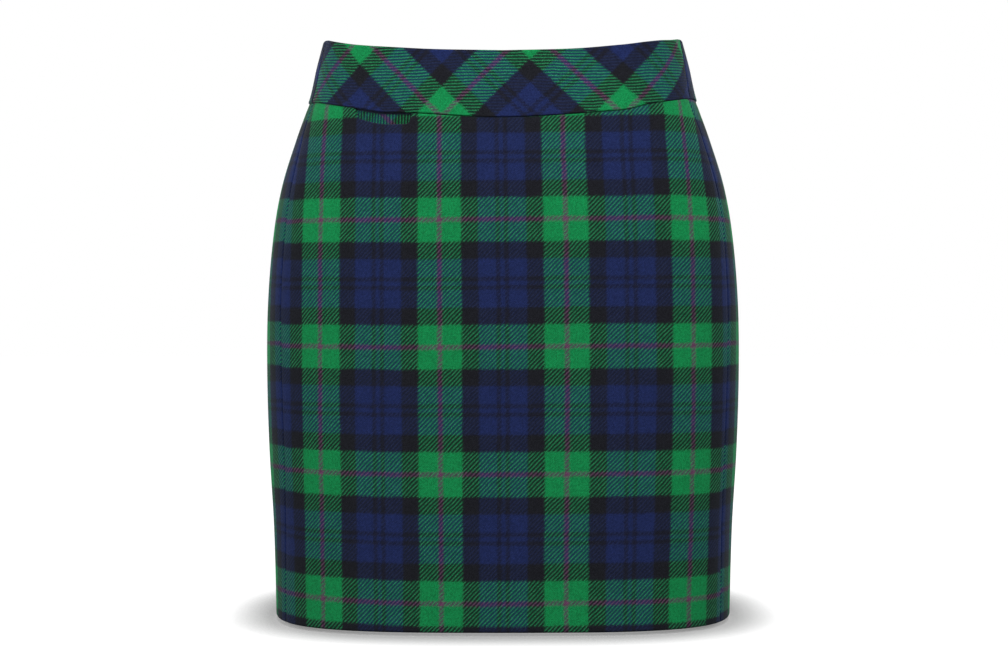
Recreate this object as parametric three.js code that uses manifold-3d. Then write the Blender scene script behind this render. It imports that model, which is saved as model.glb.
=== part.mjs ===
// Short pencil skirt in tartan wool, filled out as if worn, with a shaped waistband and a concealed back zip.
// Millimetres, +Z up, front towards -Y, origin at the middle of the waist where the wearer holds it up.

import * as THREE from 'three';
import { mergeVertices } from 'three/addons/utils/BufferGeometryUtils.js';
import Module from 'manifold-3d';

// Cloth and seams
const clothThickness = 1.8;
const bandThickness = 3;
const bandProud = 0.8;
const seamGap = 0.3;

// Lengths down the garment
const hemZ = -434.3;
const bandDepth = 47.6;
const hemTurnUp = 38;
const hemThickness = 3.8;

// Sections through the worn shape, from the waist down: half width, depth before and behind the side line,
// and how square the front and back curves are, 2 being an ellipse
const sections = [
  { z: 12, half: 130, front: 90, back: 96, squareFront: 2.8, squareBack: 2.4 },
  { z: -25, half: 139.8, front: 95, back: 102, squareFront: 2.9, squareBack: 2.4 },
  { z: -50, half: 145.1, front: 100, back: 107, squareFront: 3, squareBack: 2.45 },
  { z: -80, half: 155.3, front: 105, back: 113, squareFront: 3.1, squareBack: 2.5 },
  { z: -115, half: 165.8, front: 108.5, back: 120, squareFront: 3.2, squareBack: 2.55 },
  { z: -150, half: 171.9, front: 110, back: 125, squareFront: 3.3, squareBack: 2.6 },
  { z: -200, half: 176.2, front: 110.5, back: 128.5, squareFront: 3.3, squareBack: 2.65 },
  { z: -250, half: 177, front: 110.5, back: 126.5, squareFront: 3.3, squareBack: 2.7 },
  { z: -310, half: 175.3, front: 111, back: 121, squareFront: 3.3, squareBack: 2.8 },
  { z: -370, half: 171.7, front: 112, back: 116.5, squareFront: 3.3, squareBack: 2.9 },
  { z: -440, half: 169.7, front: 113, back: 114, squareFront: 3.3, squareBack: 3 },
];

// Side seams: cloth between centre front and the seam at each height, on the left and right of the front view
const sideSeams = [
  { z: 12, left: 141, right: 151 },
  { z: -33, left: 150, right: 151 },
  { z: -57, left: 158, right: 151 },
  { z: -80, left: 162, right: 159 },
  { z: -120, left: 166.5, right: 170 },
  { z: -190, left: 170.5, right: 174.5 },
  { z: -240, left: 169.5, right: 173.5 },
  { z: -330, left: 167, right: 170 },
  { z: -440, left: 170, right: 170 },
];

// Top edge of the waistband: its height by cloth distance from centre front
const waistLine = [
  { along: 0, z: -23.3 },
  { along: 50, z: -22 },
  { along: 85, z: -18.4 },
  { along: 117, z: -12.8 },
  { along: 150, z: -8.6 },
  { along: 220, z: -4 },
  { along: 340, z: 3 },
  { along: 420, z: 3 },
];

// Mouth of the ticket pocket: how far the front dips below the waistband seam
const pocketMouth = [
  { along: -107.6, drop: 0 },
  { along: -104.6, drop: 5.2 },
  { along: -94, drop: 6.1 },
  { along: -84, drop: 6.9 },
  { along: -74, drop: 7.5 },
  { along: -65.6, drop: 8 },
  { along: -64.2, drop: 0 },
];
const pocketFrom = -118;
const pocketTo = -54;
const pocketDepth = 72;
const pocketAboveSeam = 6;

// Concealed zip in the centre-back seam
const zipBottomZ = -182;
const zipHalfGap = 0.8;
const tapeWidth = 11;
const tapeThickness = 0.8;
const tapeBehindBand = 2.5;
const tapeBehindCloth = 2.1;
const sliderDrop = 8;
const sliderWidth = 7.4;
const sliderLength = 9;
const sliderThickness = 3.4;
const sliderBehindBand = 4.4;
const neckThickness = 1;
const neckHeight = 3.2;
const pivotStandOff = 1.6;
const ringRadius = 1.9;
const ringHole = 1.1;
const tabLength = 15;
const tabWidth = 5.2;
const tabThickness = 1;
const stopSize = { width: 4.2, thickness: 1.4, length: 4.5 };

// Mesh density
const frontColumns = 32;
const backColumns = 17;
const panelRows = 17;
const arcSteps = 160;

const wool = { color: 0x1c4f4a, roughness: 0.92, metalness: 0 };
const bandWool = { color: 0x20384f, roughness: 0.92, metalness: 0 };
const pocketWool = { color: 0x1a6a45, roughness: 0.92, metalness: 0 };
const zipTape = { color: 0x151c2a, roughness: 0.8, metalness: 0 };
const zipMetal = { color: 0x2a3040, roughness: 0.35, metalness: 0.9 };

const skirt = new THREE.Group();
const wasm = await Module();
wasm.setup();

// Smooth value of one column of a table, through its rows
function readTable(table, keyName, valueName, key) {
  const rising = table[1][keyName] > table[0][keyName];
  let row = 0;
  while (row < table.length - 2 && (rising ? key > table[row + 1][keyName] : key < table[row + 1][keyName])) {
    row += 1;
  }
  const rise = (a, b) => table[b][valueName] - table[a][valueName];
  const slope = (a, b) => rise(a, b) / (table[b][keyName] - table[a][keyName]);
  const step = table[row + 1][keyName] - table[row][keyName];
  const share = THREE.MathUtils.clamp((key - table[row][keyName]) / step, 0, 1);
  const slopeHere = row > 0 ? slope(row - 1, row + 1) : slope(row, row + 1);
  const slopeNext = row < table.length - 2 ? slope(row, row + 2) : slope(row, row + 1);
  const square = share * share;
  const cube = square * share;
  return (2 * cube - 3 * square + 1) * table[row][valueName]
    + (cube - 2 * square + share) * step * slopeHere
    + (3 * square - 2 * cube) * table[row + 1][valueName]
    + (cube - square) * step * slopeNext;
}

// Straight-line value of a table whose first and last rows are zero outside its range
function readOutline(table, keyName, valueName, key) {
  for (let row = 0; row < table.length - 1; row += 1) {
    const low = table[row];
    const high = table[row + 1];
    if (key >= low[keyName] && key <= high[keyName]) {
      const share = (key - low[keyName]) / (high[keyName] - low[keyName]);
      return THREE.MathUtils.lerp(low[valueName], high[valueName], share);
    }
  }
  return 0;
}

// Half a section as a list of points with the cloth length to each, from centre front round to centre back
const sectionCache = new Map();
function halfSection(z) {
  if (sectionCache.has(z)) {
    return sectionCache.get(z);
  }
  const size = (name) => readTable(sections, 'z', name, z);
  const half = size('half');
  const points = [];
  for (let step = 0; step <= 2 * arcSteps; step += 1) {
    const inFront = step <= arcSteps;
    const angle = (Math.PI / 2) * (inFront ? step / arcSteps : (2 * arcSteps - step) / arcSteps);
    const square = inFront ? size('squareFront') : size('squareBack');
    const depth = inFront ? -size('front') : size('back');
    const x = half * Math.sin(angle) ** (2 / square);
    const y = depth * Math.cos(angle) ** (2 / square);
    const last = points[points.length - 1];
    const along = last ? last.along + Math.hypot(x - last.x, y - last.y) : 0;
    points.push({ x, y, along });
  }
  sectionCache.set(z, points);
  return points;
}

const halfGirth = (z) => halfSection(z)[2 * arcSteps].along;

// Point on the worn shape at a cloth distance from centre front, negative on the left of the front view
function shapePoint(along, z) {
  const points = halfSection(z);
  const distance = THREE.MathUtils.clamp(Math.abs(along), 0, points[2 * arcSteps].along);
  let low = 0;
  let high = 2 * arcSteps;
  while (high - low > 1) {
    const middle = (low + high) >> 1;
    if (points[middle].along > distance) {
      high = middle;
    } else {
      low = middle;
    }
  }
  const share = (distance - points[low].along) / (points[high].along - points[low].along);
  const x = THREE.MathUtils.lerp(points[low].x, points[high].x, share);
  const y = THREE.MathUtils.lerp(points[low].y, points[high].y, share);
  return new THREE.Vector3(along < 0 ? -x : x, y, z);
}

// Outward normal of the worn shape
function shapeNormal(along, z) {
  const reach = 1.5;
  const side = along < 0 ? -1 : 1;
  const girth = halfGirth(z);
  const distance = THREE.MathUtils.clamp(Math.abs(along), 0, girth);
  const nearFront = distance < reach;
  const nearBack = distance > girth - reach;
  const from = shapePoint(side * (nearBack ? girth - reach : Math.max(distance - reach, 0)), z);
  const to = shapePoint(side * (nearBack ? girth : distance + reach), z);
  if (nearFront) {
    from.set(-to.x, to.y, to.z);
  }
  if (nearBack) {
    to.set(-from.x, from.y, from.z);
  }
  const across = to.sub(from).multiplyScalar(side);
  const up = shapePoint(along, z + reach).sub(shapePoint(along, z - reach));
  return across.cross(up).normalize();
}

function offsetPoint(along, z, out) {
  return shapePoint(along, z).addScaledVector(shapeNormal(along, z), out);
}

const seamAlong = (side, z) => side * readTable(sideSeams, 'z', side < 0 ? 'left' : 'right', z);
const waistZ = (along) => readTable(waistLine, 'along', 'z', Math.abs(along));
const bandSeamZ = (along) => waistZ(along) - bandDepth;

// Closed wall from a grid of outer and inner points, each grid[row][column], its columns running
// anticlockwise seen from above and its rows running down
function wallGeometry(outer, inner) {
  const rows = outer.length;
  const columns = outer[0].length;
  const positions = [];
  for (const grid of [outer, inner]) {
    for (const row of grid) {
      for (const point of row) {
        positions.push(point.x, point.y, point.z);
      }
    }
  }
  const innerStart = rows * columns;
  const outerAt = (row, column) => row * columns + column;
  const innerAt = (row, column) => innerStart + outerAt(row, column);
  const index = [];
  const quad = (a, b, c, d) => index.push(a, b, c, a, c, d);
  for (let row = 0; row < rows - 1; row += 1) {
    for (let column = 0; column < columns - 1; column += 1) {
      const next = column + 1;
      quad(outerAt(row + 1, column), outerAt(row + 1, next), outerAt(row, next), outerAt(row, column));
      quad(innerAt(row, column), innerAt(row, next), innerAt(row + 1, next), innerAt(row + 1, column));
    }
    const end = columns - 1;
    quad(outerAt(row, 0), innerAt(row, 0), innerAt(row + 1, 0), outerAt(row + 1, 0));
    quad(outerAt(row + 1, end), innerAt(row + 1, end), innerAt(row, end), outerAt(row, end));
  }
  for (let column = 0; column < columns - 1; column += 1) {
    const last = rows - 1;
    quad(outerAt(0, column), outerAt(0, column + 1), innerAt(0, column + 1), innerAt(0, column));
    quad(innerAt(last, column), innerAt(last, column + 1), outerAt(last, column + 1), outerAt(last, column));
  }
  const geometry = new THREE.BufferGeometry();
  geometry.setAttribute('position', new THREE.Float32BufferAttribute(positions, 3));
  geometry.setIndex(index);
  geometry.computeVertexNormals();
  return geometry;
}

function addPiece(name, geometry, finish, parent = skirt) {
  const mesh = new THREE.Mesh(geometry, new THREE.MeshStandardMaterial(finish));
  mesh.name = name;
  parent.add(mesh);
  return mesh;
}

// Wall on the worn shape. alongAt(share, z) places a column, topAt(along) and bottomAt(along) end it, and
// each row has its share of the way down, a distance added to that, and how far out its two faces lie
function addWall(name, finish, { shares, rows, alongAt, topAt, bottomAt }) {
  const outer = [];
  const inner = [];
  for (const row of rows) {
    const place = (out) => shares.map((share) => {
      let z = topAt(alongAt(share, 0));
      for (let pass = 0; pass < 3; pass += 1) {
        const along = alongAt(share, z);
        z = THREE.MathUtils.lerp(topAt(along), bottomAt(along), row.down) + row.lift;
      }
      return offsetPoint(alongAt(share, z), z, out);
    });
    outer.push(place(row.out));
    inner.push(place(row.in));
  }
  addPiece(name, wallGeometry(outer, inner), finish);
}

const evenShares = (count) => Array.from({ length: count + 1 }, (_, step) => step / count);

// Rows of a skirt panel: single cloth down to the hem, then the turned-up hem with its rounded fold
function panelRowList() {
  const hemTop = hemTurnUp / (-hemZ - bandDepth);
  const rows = evenShares(panelRows).map((share) => ({
    down: share * (1 - hemTop), lift: 0, out: 0, in: -clothThickness,
  }));
  const fold = hemThickness / 3;
  rows.push({ down: 1 - hemTop, lift: -1, out: 0, in: -hemThickness });
  rows.push({ down: 1 - hemTop / 2, lift: 0, out: 0, in: -hemThickness });
  rows.push({ down: 1, lift: fold, out: 0, in: -hemThickness });
  rows.push({ down: 1, lift: 0, out: -fold, in: fold - hemThickness });
  return rows;
}

// Rows of a waistband: rounded fold at the top, plain edge at the seam
function bandRowList() {
  const inside = bandProud - bandThickness;
  const fold = bandThickness / 3;
  const rows = [
    { down: 0, lift: 0, out: bandProud - fold, in: inside + fold },
    { down: 0, lift: -fold, out: bandProud, in: inside },
  ];
  for (const share of evenShares(3).slice(1)) {
    rows.push({ down: share, lift: 0, out: bandProud, in: inside });
  }
  return rows;
}

// Column places of a front piece, between the two side seams, with extra ones at the pocket mouth
function frontAlong(share, z) {
  const left = seamAlong(-1, z) + seamGap / 2;
  const right = seamAlong(1, z) - seamGap / 2;
  return share < 0 ? -share * left : share * right;
}

function frontShares(extra = []) {
  const even = evenShares(frontColumns).map((share) => 2 * share - 1);
  const nearest = 0.02;
  const kept = even.filter((share) => extra.every((other) => Math.abs(share - other) > nearest));
  return [...kept, ...extra].sort((a, b) => a - b);
}

// Column places of a back piece, from centre back to its side seam, on the side given
function backAlong(side) {
  return (share, z) => {
    const seam = Math.abs(seamAlong(side, z)) + seamGap / 2;
    const middle = halfGirth(z) - (z > zipBottomZ ? zipHalfGap : seamGap / 2);
    return side * THREE.MathUtils.lerp(seam, middle, side > 0 ? share : 1 - share);
  };
}

const panelShare = (along) => along / Math.abs(seamAlong(-1, bandSeamZ(along)));
const mouthShares = pocketMouth.map((row) => panelShare(row.along));

function addPanels() {
  const bandEdge = (along) => bandSeamZ(along) - seamGap;
  const rows = panelRowList();
  const bottomAt = () => hemZ;
  addWall('front_panel', wool, {
    shares: frontShares(mouthShares),
    rows,
    alongAt: frontAlong,
    topAt: (along) => bandEdge(along) - readOutline(pocketMouth, 'along', 'drop', along),
    bottomAt,
  });
  for (const [name, side] of [['back_panel_left', -1], ['back_panel_right', 1]]) {
    addWall(name, wool, {
      shares: evenShares(backColumns),
      rows,
      alongAt: backAlong(side),
      topAt: bandEdge,
      bottomAt,
    });
  }
}

function addWaistbands() {
  const rows = bandRowList();
  const ends = { topAt: waistZ, bottomAt: bandSeamZ };
  addWall('waistband_front', bandWool, { shares: frontShares(), rows, alongAt: frontAlong, ...ends });
  for (const [name, side] of [['waistband_back_left', -1], ['waistband_back_right', 1]]) {
    addWall(name, bandWool, { shares: evenShares(backColumns), rows, alongAt: backAlong(side), ...ends });
  }
}

// Back of the ticket pocket, held behind the waistband seam and seen in the mouth, on the front's columns
function addPocket() {
  const thickness = clothThickness / 2;
  const behindBand = bandProud - bandThickness - seamGap;
  const behindCloth = -clothThickness - seamGap;
  const bandRows = evenShares(2).map((share) => ({
    down: 0, lift: -share * pocketAboveSeam, out: behindBand, in: behindBand - thickness,
  }));
  const clothRows = evenShares(5).map((share) => ({
    down: share, lift: (share - 1) * (pocketAboveSeam + 1), out: behindCloth, in: behindCloth - thickness,
  }));
  const inPocket = (share) => share > panelShare(pocketFrom) && share < panelShare(pocketTo);
  addWall('ticket_pocket_facing', pocketWool, {
    shares: frontShares(mouthShares).filter(inPocket),
    rows: [...bandRows, ...clothRows],
    alongAt: frontAlong,
    topAt: (along) => bandSeamZ(along) + pocketAboveSeam,
    bottomAt: (along) => bandSeamZ(along) - pocketDepth,
  });
}

// Zip tapes behind the centre-back edges, level with the back of the waistband and then of the cloth
function addZipTapes() {
  const zipTop = (along) => waistZ(along) - 1.5;
  const length = zipTop(halfGirth(0)) - zipBottomZ;
  const rows = evenShares(14).map((share) => {
    const behindBand = share * length < bandDepth;
    const behind = behindBand ? tapeBehindBand : tapeBehindCloth;
    return { down: share, lift: 0, out: -behind, in: -behind - tapeThickness };
  });
  const spread = evenShares(2);
  for (const [name, side] of [['zip_tape_left', -1], ['zip_tape_right', 1]]) {
    addWall(name, zipTape, {
      shares: spread,
      rows,
      alongAt: (share, z) => {
        const middle = halfGirth(z) - zipHalfGap;
        const outerEdge = middle - tapeWidth;
        return side > 0
          ? THREE.MathUtils.lerp(outerEdge, middle, share)
          : -THREE.MathUtils.lerp(middle, outerEdge, share);
      },
      topAt: zipTop,
      bottomAt: () => zipBottomZ,
    });
  }
}

// Geometry as a solid that can be joined and cut
function toSolid(geometry) {
  const bare = geometry.clone();
  bare.deleteAttribute('normal');
  bare.deleteAttribute('uv');
  const merged = mergeVertices(bare, 1e-5);
  return new wasm.Manifold(new wasm.Mesh({
    numProp: 3,
    vertProperties: new Float32Array(merged.attributes.position.array),
    triVerts: new Uint32Array(merged.index.array),
  }));
}

function fromSolid(solid) {
  const mesh = solid.getMesh();
  const geometry = new THREE.BufferGeometry();
  geometry.setAttribute('position', new THREE.Float32BufferAttribute(mesh.vertProperties, 3));
  geometry.setIndex(Array.from(mesh.triVerts));
  geometry.computeVertexNormals();
  return geometry;
}

// Outline of the slider body, wide at the top where the two rows part
function sliderOutline() {
  const shape = new THREE.Shape();
  const wide = sliderWidth / 2;
  const narrow = wide * 0.72;
  const top = sliderLength / 2;
  const shoulder = 1.6;
  shape.moveTo(-narrow, -top);
  shape.lineTo(narrow, -top);
  shape.lineTo(wide, top - shoulder);
  shape.quadraticCurveTo(wide, top, wide - shoulder, top);
  shape.lineTo(-wide + shoulder, top);
  shape.quadraticCurveTo(-wide, top, -wide, top - shoulder);
  return shape;
}

// Slider in its own frame: X across, Y up the zip, Z outwards from the waistband's face
function sliderGeometry() {
  const body = new THREE.ExtrudeGeometry(sliderOutline(), {
    depth: sliderThickness, bevelEnabled: false, curveSegments: 4,
  });
  body.translate(0, 0, -sliderBehindBand - sliderThickness);
  const neckLength = sliderBehindBand + 1;
  const neck = new THREE.BoxGeometry(neckThickness, neckHeight, neckLength);
  neck.translate(0, 0, -sliderBehindBand - 0.5 + neckLength / 2);
  const ring = new THREE.CylinderGeometry(ringRadius, ringRadius, neckThickness, 24);
  ring.rotateZ(Math.PI / 2);
  ring.translate(0, 0, pivotStandOff);
  const hole = new THREE.CylinderGeometry(ringHole, ringHole, neckThickness * 2, 24);
  hole.rotateZ(Math.PI / 2);
  hole.translate(0, 0, pivotStandOff);
  return fromSolid(toSolid(body).add(toSolid(neck)).add(toSolid(ring)).subtract(toSolid(hole)));
}

// Pull tab in its own frame, its bar on the X axis at the origin and its drop down -Y
function tabGeometry() {
  const shape = new THREE.Shape();
  const bar = tabThickness / 2;
  const half = tabWidth / 2;
  const shoulder = half * 0.72;
  const bottom = bar - tabLength;
  shape.moveTo(-shoulder, bar);
  shape.bezierCurveTo(-shoulder, bottom / 2, -half, bottom / 2, -half, bottom + half);
  shape.absarc(0, bottom + half, half, Math.PI, 2 * Math.PI, false);
  shape.bezierCurveTo(half, bottom / 2, shoulder, bottom / 2, shoulder, bar);
  const eye = new THREE.Path();
  const eyeHalf = neckThickness / 2 + 0.4;
  const eyeEnd = -ringRadius - 0.6;
  eye.moveTo(-eyeHalf, -bar);
  eye.lineTo(-eyeHalf, eyeEnd);
  eye.lineTo(eyeHalf, eyeEnd);
  eye.lineTo(eyeHalf, -bar);
  shape.holes.push(eye);
  const geometry = new THREE.ExtrudeGeometry(shape, {
    depth: tabThickness, bevelEnabled: false, curveSegments: 8,
  });
  geometry.translate(0, 0, -tabThickness / 2);
  return geometry;
}

// Frame on the centre-back line at a height: X across, Y up the cloth, Z outwards
function centreBackFrame(z, out) {
  const normal = shapeNormal(halfGirth(z), z);
  const frame = new THREE.Group();
  frame.position.copy(shapePoint(halfGirth(z), z)).addScaledVector(normal, out);
  frame.position.x = 0;
  const up = new THREE.Vector3(0, -normal.z, normal.y).normalize();
  const across = new THREE.Vector3().crossVectors(up, normal);
  frame.quaternion.setFromRotationMatrix(new THREE.Matrix4().makeBasis(across, up, normal));
  skirt.add(frame);
  return frame;
}

function addZipHardware() {
  const sliderZ = waistZ(halfGirth(0)) - sliderDrop;
  const frame = centreBackFrame(sliderZ, bandProud);
  addPiece('zip_slider', sliderGeometry(), zipMetal, frame);
  const tab = addPiece('zip_pull_tab', tabGeometry(), zipMetal, frame);
  tab.position.z = pivotStandOff;
  const stopFrame = centreBackFrame(zipBottomZ + stopSize.length, 0);
  const stop = new THREE.BoxGeometry(stopSize.width, stopSize.length, stopSize.thickness);
  stop.translate(0, 0, -tapeBehindCloth - tapeThickness - seamGap - stopSize.thickness / 2);
  addPiece('zip_bottom_stop', stop, zipMetal, stopFrame);
}

addPanels();
addWaistbands();
addPocket();
addZipTapes();
addZipHardware();

export default skirt;
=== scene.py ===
import math

import bmesh
import bpy
import numpy as np
from mathutils import Matrix, Vector


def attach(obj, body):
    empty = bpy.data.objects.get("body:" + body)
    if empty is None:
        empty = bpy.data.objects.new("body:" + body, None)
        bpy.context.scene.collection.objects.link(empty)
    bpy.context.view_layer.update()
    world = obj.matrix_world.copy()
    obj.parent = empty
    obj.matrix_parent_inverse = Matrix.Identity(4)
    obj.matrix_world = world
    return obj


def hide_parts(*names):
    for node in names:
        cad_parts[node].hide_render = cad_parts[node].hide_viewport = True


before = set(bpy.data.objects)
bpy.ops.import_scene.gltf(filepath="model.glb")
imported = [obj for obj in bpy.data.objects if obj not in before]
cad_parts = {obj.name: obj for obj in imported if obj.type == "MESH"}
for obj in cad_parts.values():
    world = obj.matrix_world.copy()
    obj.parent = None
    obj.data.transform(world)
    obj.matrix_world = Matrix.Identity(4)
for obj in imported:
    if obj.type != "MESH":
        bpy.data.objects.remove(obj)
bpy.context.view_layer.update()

mm = 0.001  # sizes below are in millimetres until a mesh is made

# Worn shape, the same as the solids': half width, depths before and behind, squareness of each curve
wornShape = {
    "z": [-440, -370, -310, -250, -200, -150, -115, -80, -50, -25, 12],
    "half": [169.7, 171.7, 175.3, 177, 176.2, 171.9, 165.8, 155.3, 145.1, 139.8, 130],
    "front": [113, 112, 111, 110.5, 110.5, 110, 108.5, 105, 100, 95, 90],
    "back": [114, 116.5, 121, 126.5, 128.5, 125, 120, 113, 107, 102, 96],
    "squareFront": [3.3, 3.3, 3.3, 3.3, 3.3, 3.3, 3.2, 3.1, 3, 2.9, 2.8],
    "squareBack": [3, 2.9, 2.8, 2.7, 2.65, 2.6, 2.55, 2.5, 2.45, 2.4, 2.4],
}
sideSeams = {  # cloth between centre front and each side seam
    "z": [-440, -330, -240, -190, -120, -80, -57, -33, 12],
    "left": [170, 167, 169.5, 170.5, 166.5, 162, 158, 154, 147],
    "right": [170, 170, 173.5, 174.5, 170, 159, 151, 151, 151],
}
waistLine = {  # top of the waistband, which the photo shows a little higher on the right
    "along": [0, 50, 86, 107, 120, 133, 150, 165, 220, 340, 420],
    "left": [-23.3, -22.1, -19.2, -16.6, -14.2, -11.4, -7.9, -7, -4, 3, 3],
    "right": [-23.3, -21.7, -17.7, -14, -11.8, -10, -7, -6, -3.8, 3, 3],
}
bandSeam = {  # how far the waistband's lower seam rises from a plain line round the waist
    "along": [-260, -190, -150, -122, -104, -88, -66, 0, 85, 105, 125, 150, 180, 260],
    "plain": [-1, -5.5, -8.6, -12.2, -14.9, -18, -20.6, -23.3, -18.4, -14.9, -11.8, -8.6, -6.6, -1],
    "rise": [0, 0, 0, -1.3, -1.8, -1.8, -0.2, -0.9, 0.1, 1.6, 2.4, 3, 2.4, 0],
}
garment = {
    "hemZ": -434.3,
    "bandDepth": 47.6,
    "hemTurnUp": 38,
    "hemFold": 1.9,  # radius of the fold at the hem
    "cloth": 1.8,  # thickness of the wool
    "bandProud": 0.8,  # the waistband stands this far out from the skirt
    "band": 3,  # thickness of the waistband
    "seamGap": 0.3,
    "seamRoll": 1.3,  # radius of the cloth's turn into a seam
    "waistRoll": 0.7,  # the same at the waist seam
    "mouthRoll": 0.9,  # added to it in the pocket's mouth
    "bandRoll": 1.2,  # the same at the ends of the waistbands
    "slit": 0.05,  # from each cloth to the middle of the waist seam
    "turnUpStep": 1.2,  # height over which the cloth thickens at the top of the turned-up hem
    "panelLength": 372,
    "dips": {"side": (0.3, 3.2), "waist": (0.3, 4), "band": (0.25, 3)},  # depth and width beside each seam
    "zipBottomZ": -182,
    "mesh": 2.1,  # size of the cloth's faces
}


# Shape of the worn skirt
def readTable(table, keyName, valueName, keys):  # a smooth curve through the table's values
    k = np.array(table[keyName], float)
    v = np.array(table[valueName], float)
    keys = np.clip(np.asarray(keys, float), k[0], k[-1])
    row = np.clip(np.searchsorted(k, keys, side="right") - 1, 0, len(k) - 2)
    slopes = np.empty(len(k))
    slopes[1:-1] = (v[2:] - v[:-2]) / (k[2:] - k[:-2])
    slopes[0] = (v[1] - v[0]) / (k[1] - k[0])
    slopes[-1] = (v[-1] - v[-2]) / (k[-1] - k[-2])
    step = k[row + 1] - k[row]
    t = (keys - k[row]) / step
    t2 = t * t
    t3 = t2 * t
    return ((2 * t3 - 3 * t2 + 1) * v[row] + (t3 - 2 * t2 + t) * step * slopes[row]
            + (3 * t2 - 2 * t3) * v[row + 1] + (t3 - t2) * step * slopes[row + 1])


shapeTable = {"lowest": -442, "highest": 14, "arcSteps": 400, "places": 1201}


def tabulateShape():  # the half outline at each whole height, in even steps along it
    heights = np.arange(shapeTable["lowest"], shapeTable["highest"] + 1.0)
    lengths = np.empty(len(heights))
    outline = np.empty((len(heights), shapeTable["places"], 2))
    angle = np.linspace(0, math.pi / 2, shapeTable["arcSteps"])
    for i, z in enumerate(heights):
        size = {name: float(readTable(wornShape, "z", name, z)) for name in wornShape if name != "z"}
        frontX = size["half"] * np.sin(angle) ** (2 / size["squareFront"])
        frontY = -size["front"] * np.cos(angle) ** (2 / size["squareFront"])
        backX = size["half"] * np.sin(angle[::-1]) ** (2 / size["squareBack"])
        backY = size["back"] * np.cos(angle[::-1]) ** (2 / size["squareBack"])
        x = np.concatenate([frontX, backX[1:]])
        y = np.concatenate([frontY, backY[1:]])
        along = np.concatenate([[0], np.cumsum(np.hypot(np.diff(x), np.diff(y)))])
        lengths[i] = along[-1]
        even = np.linspace(0, along[-1], shapeTable["places"])
        outline[i, :, 0] = np.interp(even, along, x)
        outline[i, :, 1] = np.interp(even, along, y)
    return heights, lengths, outline


levels, girths, spots = tabulateShape()


def halfGirth(z):
    return np.interp(z, levels, girths)


def shapePoint(along, z):
    along, z = np.broadcast_arrays(np.asarray(along, float), np.asarray(z, float))
    girth = halfGirth(z)
    far = np.abs(along)
    past = far > girth  # past centre back it comes round the other side
    share = np.where(past, 2 * girth - far, far) / girth
    side = np.where(past, -1, 1) * np.where(along < 0, -1, 1)
    level = np.clip(z - levels[0], 0, len(levels) - 1.001)
    row = level.astype(int)
    up = level - row
    place = np.clip(share, 0, 1) * (spots.shape[1] - 1.001)
    column = place.astype(int)
    over = place - column
    xy = 0
    for dr, wr in ((0, 1 - up), (1, up)):
        for dc, wc in ((0, 1 - over), (1, over)):
            xy = xy + spots[row + dr, column + dc] * (wr * wc)[..., None]
    return np.stack([xy[..., 0] * side, xy[..., 1], z], axis=-1)


def shapeNormal(along, z, reach=2.0):
    across = shapePoint(along + reach, z) - shapePoint(along - reach, z)
    up = shapePoint(along, z + reach) - shapePoint(along, z - reach)
    normal = np.cross(across, up)
    return normal / np.linalg.norm(normal, axis=-1, keepdims=True)


def offsetPoint(along, z, out):
    return shapePoint(along, z) + shapeNormal(along, z) * np.asarray(out)[..., None]


def waistZ(along):
    along = np.asarray(along, float)
    sides = [readTable(waistLine, "along", side, np.abs(along)) for side in ("left", "right")]
    return np.where(along < 0, *sides)


def bandSeamZ(along):  # the rise is for the front and sides only
    along = np.asarray(along, float)
    line = readTable(bandSeam, "along", "plain", along) + readTable(bandSeam, "along", "rise", along)
    return np.where(np.abs(along) < bandSeam["along"][-1], line, waistZ(along)) - garment["bandDepth"]


def seamAlong(side, z):
    return side * readTable(sideSeams, "z", "left" if side < 0 else "right", z)


print("worn shape tabulated")


# Materials
class Wire:  # one output of a node, which sums can be done on
    def __init__(self, tree, socket=None):
        self.tree = tree
        self.socket = socket

    def node(self, kind, settings=None, sockets=None, output=0):
        made = self.tree.nodes.new("ShaderNode" + kind)
        for name, value in (settings or {}).items():
            if name == "stops":
                ramp = made.color_ramp
                while len(ramp.elements) < len(value):
                    ramp.elements.new(1)
                for element, (place, color) in zip(ramp.elements, value):
                    element.position = place
                    element.color = (*color, 1)
            elif name == "interpolation":
                made.color_ramp.interpolation = value
            else:
                setattr(made, name, value)
        for name, value in (sockets or {}).items():
            if isinstance(value, Wire):
                self.tree.links.new(value.socket, made.inputs[name])
            else:
                made.inputs[name].default_value = value
        return Wire(self.tree, made.outputs[output] if made.outputs else None)

    def math(self, operation, *values):
        return self.node("Math", {"operation": operation}, dict(enumerate(values)))

    def __add__(self, other):
        return self.math("ADD", self, other)

    def __sub__(self, other):
        return self.math("SUBTRACT", self, other)

    def __rsub__(self, other):
        return self.math("SUBTRACT", other, self)

    def __mul__(self, other):
        return self.math("MULTIPLY", self, other)

    def __truediv__(self, other):
        return self.math("DIVIDE", self, other)

    def __rtruediv__(self, other):
        return self.math("DIVIDE", other, self)

    __radd__ = __add__
    __rmul__ = __mul__

    def sibling(self, output):  # another output of the same node
        return Wire(self.tree, self.socket.node.outputs[output])

    def floor(self):
        return self.math("FLOOR", self)

    def mix(self, low, high):  # self is how much of high, on colours
        return self.node("Mix", {"data_type": "RGBA"}, {0: self, 6: low, 7: high}, 2)

    def blend(self, kind, first, second, share=1.0):
        return self.node("Mix", {"data_type": "RGBA", "blend_type": kind}, {0: share, 6: first, 7: second}, 2)

    def even(self, value):  # a grey as light as the value
        return self.node("CombineColor", None, {0: value, 1: value, 2: value})

    def power(self, exponent):  # of each part of a colour
        return self.node("Gamma", None, {"Color": self, "Gamma": exponent})

    def within(self, low, high):  # smooth rise from 0 at low to 1 at high
        settings = {"interpolation_type": "SMOOTHSTEP"}
        return self.node("MapRange", settings, {"Value": self, "From Min": low, "From Max": high})


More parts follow.
